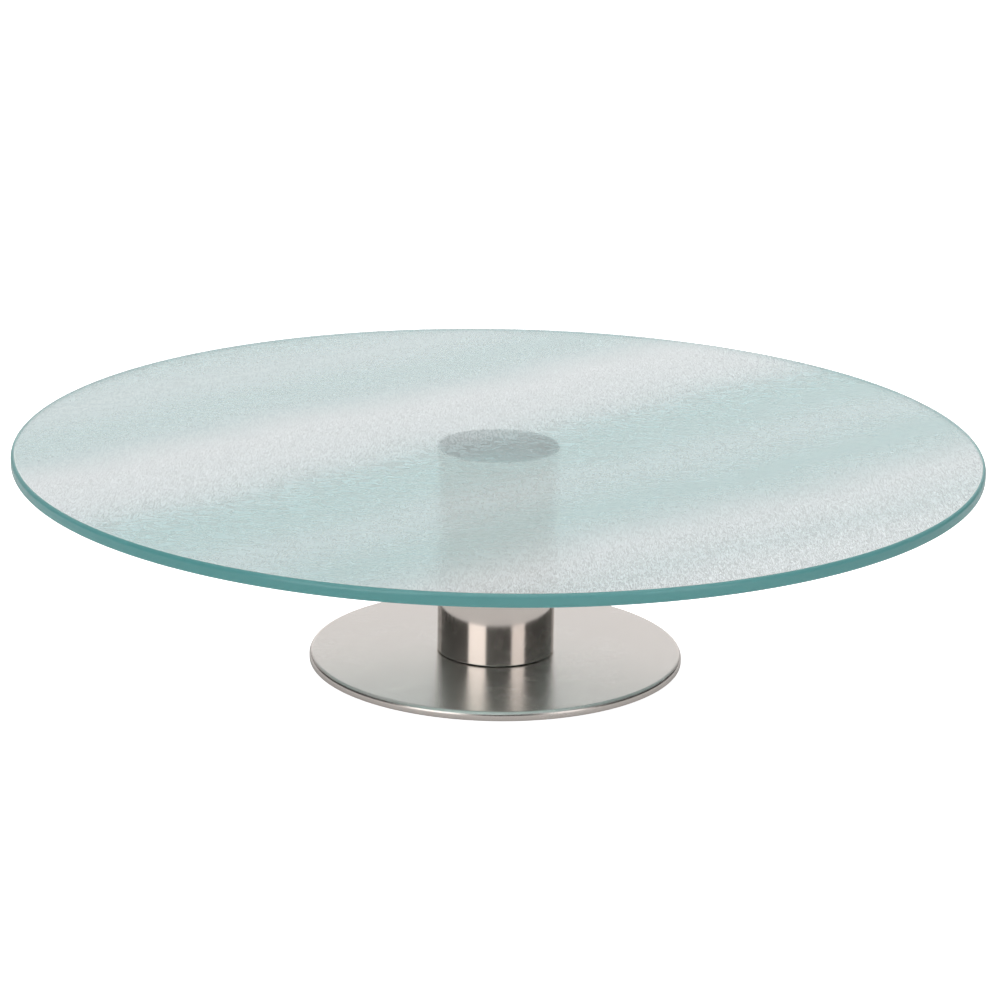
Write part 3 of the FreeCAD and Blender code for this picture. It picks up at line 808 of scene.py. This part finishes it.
@dataclass
class Hub:
    """The turned bearing housing under the glass, and the line of adhesive round it.

    Attributes:
        wetting: how far the hub's bonded face stands into the glass, in millimetres. It leaves no air
            between them, as the adhesive does.
        bond_inset: distance from the flange's edge to the bonded face, in millimetres.
        break_edge: radius on the flange's edges, in millimetres.
        flank_deep: how far in from the flange's edge the finer skimmed finish goes, in millimetres.
        boss_inset: distance from the column's outer surface to the boss, in millimetres.
        shoulder: width of the shoulder that stops the upper bearing, in millimetres.
        recess_deep: depth of the recess above it, in millimetres.
        bead: distance from the bonded face to the adhesive line's surface, at its foot and at its
            top, in millimetres.
        bead_gap: distance from the bonded face to where the line starts, in millimetres.
        hair: the small gap that keeps one surface clear of another, in millimetres.
        steps: the number of points round each circle.
    """

    wetting: float = 0.003
    bond_inset: float = 0.3
    break_edge: float = 0.3
    flank_deep: float = 0.12
    boss_inset: float = 1.22
    shoulder: float = 1.4
    recess_deep: float = 4.0
    bead: tuple[float, float] = (0.24, 0.2)
    bead_gap: float = 0.02
    hair: float = 0.01
    steps: int = 256

    def build(self) -> None:
        """Builds and dresses the hub and the adhesive line."""
        flange, boss_low, flange_top = node_mm("hub")
        plate_low = node_mm("glass_plate")[1]
        sleeve, _, sleeve_top = node_mm("column_sleeve")
        ring = node_mm("lower_bearing_outer_ring")[0]
        bearing_top = node_mm("upper_bearing_outer_ring")[2]
        boss, bonded = sleeve - self.boss_inset, flange - self.bond_inset
        bore, recess = ring + self.hair, ring - self.shoulder
        outline = rounded_outline(
            [
                Corner(0.0, bearing_top + self.recess_deep),
                Corner(recess, bearing_top + self.recess_deep, 0.2),
                Corner(recess, bearing_top, 0.1),
                Corner(bore, bearing_top, 0.1),
                Corner(bore, boss_low, 0.3),
                Corner(boss, boss_low, 0.3),
                Corner(boss, sleeve_top, 0.1),
                Corner(flange, sleeve_top, self.break_edge),
                Corner(flange, flange_top, 0.1),
                Corner(bonded, flange_top, 0.05),
                Corner(bonded, plate_low + self.wetting, 0.05),
                Corner(0.0, plate_low + self.wetting),
            ],
            segments=4,
        )
        hub = new_piece("turned_hub", *revolve(outline, self.steps, closed=False))
        finish_piece(hub, TURNED_HUB.material(), "turntable", "turned_aluminium", "hub")
        hub.data.materials.append(SKIMMED_FLANK.material())
        centres = np.empty(3 * len(hub.data.polygons), dtype=np.float32)
        hub.data.polygons.foreach_get("center", centres)
        across = np.hypot(centres[0::3], centres[1::3])
        flank = across > (flange - self.flank_deep) * MM
        hub.data.polygons.foreach_set("material_index", flank.astype(np.int32))
        low, high = flange_top + self.hair, plate_low - self.hair
        line = rounded_outline(
            [
                Corner(bonded + self.bead_gap, low, 0.03),
                Corner(bonded + self.bead[0], low, 0.06),
                Corner(bonded + self.bead[1], high, 0.05),
                Corner(bonded + self.bead_gap, high, 0.03),
            ],
            segments=3,
        )
        film = new_piece("adhesive_line", *revolve(line, self.steps, closed=True))
        finish_piece(film, ClearResin().material(), "turntable", "clear_adhesive", "adhesive_film")


@dataclass
class Column:
    """The satin stainless tube that hides the bearings.

    Attributes:
        wall: thickness of the tube, in millimetres.
        break_edge: radius on the lower outer edge, in millimetres.
        steps: the number of points round each circle.
    """

    wall: float = 1.2
    break_edge: float = 0.3
    steps: int = 320

    def build(self) -> None:
        """Builds and dresses the column."""
        radius, low, high = node_mm("column_sleeve")
        outline = rounded_outline(
            [
                Corner(radius - self.wall, low, 0.2),
                Corner(radius, low, self.break_edge),
                Corner(radius, high, 0.1),
                Corner(radius - self.wall, high, 0.1),
            ],
            segments=5,
        )
        column = new_piece("satin_column", *revolve(outline, self.steps, closed=True))
        finish_piece(column, SATIN_COLUMN.material(), "turntable", "satin_stainless", "column_sleeve")


# --- Foot ---


@dataclass
class Foot:
    """The outside of the round foot: a pressed shell and the foam ring that it stands on.

    Attributes:
        wall: thickness of the shell, in millimetres.
        rounding: outer radius of the shell's edge, in millimetres.
        ring_inner: inner radius of the foam ring, in millimetres.
        steps: the number of points round each circle.
    """

    wall: float = 0.7
    rounding: float = 1.3
    ring_inner: float = 36.0
    steps: int = 512

    def build(self) -> None:
        """Builds and dresses the shell and the foam ring."""
        radius, low, high = node_mm("foot_shell")
        bore, under = radius - self.wall, high - self.wall
        outline = rounded_outline(
            [
                Corner(0.0, under),
                Corner(bore, under, self.rounding - self.wall),
                Corner(bore, low, 0.15),
                Corner(radius, low, 0.3),
                Corner(radius, high, self.rounding),
                Corner(0.0, high),
            ],
            segments=12,
        )
        shell = new_piece("pressed_foot_shell", *revolve(outline, self.steps, closed=False))
        finish_piece(shell, BRUSHED_FOOT.material(), "foot", "satin_stainless", "foot_shell")
        outer, low, high = node_mm("anti_slip_ring")
        outline = rounded_outline(
            [
                Corner(self.ring_inner, low, 0.25),
                Corner(outer, low, 0.25),
                Corner(outer, high, 0.1),
                Corner(self.ring_inner, high, 0.1),
            ],
            segments=4,
        )
        ring = new_piece("foam_ring", *revolve(outline, self.steps // 2, closed=True))
        finish_piece(ring, FOAM.material(), "foot", "foam_rubber", "anti_slip_ring")


# --- Inner parts, which keep their own meshes ---


@dataclass
class Mechanism:
    """The spindle, bearings, rings, ballast and screws.

    Attributes:
        finishes: the finish of each node, found by the first of these words that its name holds.
    """

    finishes: dict[str, Metal | Polymer] = field(
        default_factory=lambda: {
            "shield": PRESSED_SHIELD,
            "cage": MOULDED_NYLON,
            "ball_": LAPPED_BALL,
            "bearing": GROUND_RACE,
            "spacer": TURNED_SPACER,
            "retaining": PHOSPHATED_SPRING,
            "spindle": TURNED_SPINDLE,
            "screws": ZINC_SCREW,
            "ballast": ROLLED_BALLAST,
        }
    )

    def dress(self) -> None:
        """Gives each node that is still shown its finish."""
        made: dict[str, bpy.types.Material] = {}
        for name, node in sorted(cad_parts.items()):
            if node.hide_render:
                continue
            finish = next(f for word, f in self.finishes.items() if word in name)
            if finish.name not in made:
                made[finish.name] = finish.material()
            node.data.materials.clear()
            node.data.materials.append(made[finish.name])
            LOG.info("%s keeps its mesh: %s", name, finish.name)


# --- Studio ---


@dataclass(frozen=True)
class Softbox:
    """A soft patch of light in the room, seen as directions from the stand.

    Attributes:
        name: where it stands.
        bearing: its middle, in degrees from the camera's side, positive to the right.
        half_width: half its width, in degrees.
        low: its lower edge, in degrees above the horizon.
        high: its upper edge, in degrees above the horizon.
        strength: its brightness, added to the room's.
        soft: the width of its faded border, in degrees.
    """

    name: str
    bearing: float
    half_width: float
    low: float
    high: float
    strength: float
    soft: float


@dataclass
class Studio:
    """A pale floor, a dim room with softboxes, and the camera.

    Attributes:
        room: brightness of the unlit room.
        overhead: brightness of the ceiling light.
        ceiling: the elevations where it starts and is full, in degrees.
        under: brightness below the floor, which only the underside of the stand sees, from below.
        below: the elevations where it starts and is full, in degrees.
        softboxes: the patches of light round the stand.
        floor_radius: the floor's radius, in metres.
        floor_steps: the number of points round the floor's edge.
        floor_drop: how far the floor lies under the foot, in millimetres.
        hidden: how far the floor goes in under the foot, in millimetres.
        fibre_mm: size of the paper's pale and dim flecks.
        shaded: the radii where the paper is darkest and where the darkening ends, in metres.
        shade: how bright the darkest paper is beside the rest.
        glow: how brightly the paper shines on the stand.
        distance: the camera's distance from the middle of the plate's top, in metres.
        elevation: the camera's height angle, in degrees.
        aim: the point of the axis plane that the camera looks at, as across and height, in metres.
        roll: the camera's tilt, in degrees.
        lens: the focal length, in millimetres.
        clip: the nearest and farthest distance that the camera sees, in metres.
    """

    room: float = 0.05
    overhead: float = 1.25
    ceiling: tuple[float, float] = (50.0, 70.0)
    under: float = 0.9
    below: tuple[float, float] = (-12.0, -40.0)
    softboxes: tuple[Softbox, ...] = (
        Softbox("left", -36.5, 17.5, -5.0, 48.0, 2.1, 2.0),
        Softbox("right", 45.5, 13.5, -5.0, 48.0, 1.5, 2.0),
        Softbox("front", -8.0, 22.0, 36.0, 54.0, 1.9, 2.0),
        Softbox("back_wide", 184.5, 41.5, -10.0, 24.0, 0.38, 3.0),
        Softbox("back_low", 180.0, 22.0, -10.0, 24.0, 0.68, 8.0),
        Softbox("back_high", 180.0, 60.0, 24.0, 60.0, 0.45, 8.0),
    )
    floor_radius: float = 12.0
    floor_steps: int = 128
    floor_drop: float = 0.05
    hidden: float = 2.0
    fibre_mm: float = 3.33
    shaded: tuple[float, float] = (0.0595, 0.067)
    shade: float = 0.62
    glow: float = 0.03
    distance: float = 1.0042
    elevation: float = 15.68
    aim: tuple[float, float] = (0.0007, 0.05231)
    roll: float = 0.954
    lens: float = 116.42
    clip: tuple[float, float] = (0.01, 100.0)

    def build(self) -> None:
        """Builds the floor, the light and the camera."""
        self.lay_floor()
        self.light_room()
        self.place_camera()
        bpy.context.scene.view_settings.view_transform = "Standard"

    def lay_floor(self) -> None:
        """Lays a white paper floor, overexposed where the camera sees it directly.

        The plate casts no shadow of its own, so the paper is painted darker close round the foot. From
        below the paper is clear, and it has an opening under the foot, so that the underside of the
        stand can be looked at.
        """
        opening = node_mm("foot_shell")[0] - self.hidden
        outline = np.array([[edge, -self.floor_drop] for edge in (self.floor_radius / MM, opening)])
        floor = new_piece("paper_floor", *revolve(outline, self.floor_steps, closed=False))
        material, tree, shader = new_material("white_backdrop_paper")
        place = add_node(tree, "TexCoord").outputs["Object"]
        fibres = 1.0 / (self.fibre_mm * MM)
        fibre = add_node(tree, "TexNoise", {"Vector": place, "Scale": fibres, "Detail": 2.0})
        tint = add_node(
            tree,
            "ValToRGB",
            {0: fibre},
            stops=[(NOISE_LOW, linear("#F8F8F7")), (NOISE_HIGH, linear("#FCFCFB"))],
        )
        away = add_node(tree, "VectorMath", {0: place}, operation="LENGTH")
        start, end = self.shaded
        shade = add_node(
            tree,
            "MapRange",
            {0: away.outputs["Value"], 1: start, 2: end, 3: self.shade, 4: 1.0},
            interpolation_type="SMOOTHSTEP",
        )
        shaded = add_node(tree, "VectorMath", {0: tint, "Scale": shade}, operation="SCALE")
        seen = add_node(tree, "LightPath").outputs["Is Camera Ray"]
        glow = add_node(tree, "Math", {0: seen, 1: self.glow}, operation="ADD")
        fill(tree, shader, {
            "Base Color": shaded,
            "Roughness": 0.9,
            "Specular IOR Level": 0.1,
            "Emission Color": linear("#FFFFFF"),
            "Emission Strength": glow,
        })
        back = add_node(tree, "NewGeometry").outputs["Backfacing"]
        clear = add_node(tree, "BsdfTransparent")
        sided = add_node(tree, "MixShader", {0: back, 1: shader, 2: clear})
        fill(tree, tree.nodes["Material Output"], {"Surface": sided})
        floor.data.materials.append(material)

    def light_room(self) -> None:
        """Lights the room with the softboxes, which the camera itself sees as plain white.

        A softbox is the product of a smooth step on the bearing's distance from its middle and two
        smooth steps on the elevation.
        """
        world = bpy.data.worlds.new("studio")
        bpy.context.scene.world = world
        world.use_nodes = True
        tree = world.node_tree
        tree.nodes.clear()
        way = add_node(tree, "TexCoord").outputs["Generated"]
        parts = add_node(tree, "SeparateXYZ", {0: way})
        toward = add_node(tree, "Math", {0: parts.outputs[1], 1: -1.0}, operation="MULTIPLY")
        bearing = add_node(tree, "Math", {0: parts.outputs[0], 1: toward}, operation="ARCTAN2")
        rise = add_node(tree, "Math", {0: parts.outputs[2]}, operation="ARCSINE")
        total = self.ramp(tree, rise, *self.ceiling, self.overhead)
        under = self.ramp(tree, rise, *self.below, self.under)
        total = add_node(tree, "Math", {0: total, 1: under}, operation="ADD")
        for box in self.softboxes:
            LOG.info("softbox %s at %.1f degrees", box.name, box.bearing)
            patch = self.patch(tree, box, bearing, rise)
            total = add_node(tree, "Math", {0: total, 1: patch}, operation="ADD")
        total = add_node(tree, "Math", {0: total, 1: self.room}, operation="ADD")
        seen = add_node(tree, "LightPath").outputs["Is Camera Ray"]
        shown = add_node(tree, "Mix", {0: seen, 2: total, 3: 1.0}, data_type="FLOAT")
        light = add_node(tree, "Background", {"Color": (1.0, 1.0, 1.0, 1.0), "Strength": shown})
        add_node(tree, "OutputWorld", {"Surface": light})

    def ramp(self, tree: Tree, angle: Source, start: float, end: float, top: float) -> Source:
        """Adds a smooth step on an angle.

        Args:
            tree: the world's node tree.
            angle: the angle, in radians.
            start: where the step starts, in degrees.
            end: where it ends, in degrees.
            top: the value at its end.

        Returns:
            A value that goes from 0 at start to top at end.
        """
        step = add_node(
            tree,
            "MapRange",
            {0: angle, 1: math.radians(start), 2: math.radians(end), 3: 0.0, 4: top},
            interpolation_type="SMOOTHSTEP",
        )
        return step

    def patch(self, tree: Tree, box: Softbox, bearing: Source, rise: Source) -> Source:
        """Adds one softbox.

        Args:
            tree: the world's node tree.
            box: the softbox.
            bearing: the direction's bearing, in radians.
            rise: the direction's elevation, in radians.

        Returns:
            Its brightness in that direction.
        """
        away = add_node(tree, "Math", {0: bearing, 1: math.radians(box.bearing)}, operation="SUBTRACT")
        half_turn = math.pi
        around = add_node(tree, "Math", {0: away, 1: half_turn, 2: -half_turn}, operation="WRAP")
        apart = add_node(tree, "Math", {0: around}, operation="ABSOLUTE")
        fade, wide = box.soft / 2, box.half_width
        side = self.ramp(tree, apart, wide + fade, wide - fade, box.strength)
        foot = self.ramp(tree, rise, box.low - fade, box.low + fade, 1.0)
        head = self.ramp(tree, rise, box.high + fade, box.high - fade, 1.0)
        both = add_node(tree, "Math", {0: foot, 1: head}, operation="MULTIPLY")
        whole = add_node(tree, "Math", {0: both, 1: side}, operation="MULTIPLY")
        return whole

    def place_camera(self) -> None:
        """Places the camera in front of the stand and makes it the scene's camera."""
        plate_top = node_mm("glass_plate")[2] * MM
        rise = math.radians(self.elevation)
        place = Vector(
            (0.0, -self.distance * math.cos(rise), plate_top + self.distance * math.sin(rise))
        )
        aim = Vector((self.aim[0], 0.0, self.aim[1]))
        camera = bpy.data.objects.new("camera", bpy.data.cameras.new("camera"))
        camera.data.lens = self.lens
        camera.data.clip_start, camera.data.clip_end = self.clip
        turn = (aim - place).to_track_quat("-Z", "Y").to_matrix().to_4x4()
        roll = Matrix.Rotation(math.radians(self.roll), 4, "Z")
        camera.matrix_world = Matrix.Translation(place) @ turn @ roll
        bpy.context.scene.collection.objects.link(camera)
        bpy.context.scene.camera = camera


def main() -> None:
    """Builds the stand from the plate down, then the room round it."""
    logging.basicConfig(level=logging.INFO, format="%(name)s: %(message)s")
    Plate().build()
    Hub().build()
    Column().build()
    Foot().build()
    Mechanism().dress()
    Studio().build()


if __name__ == "__main__":
    main()
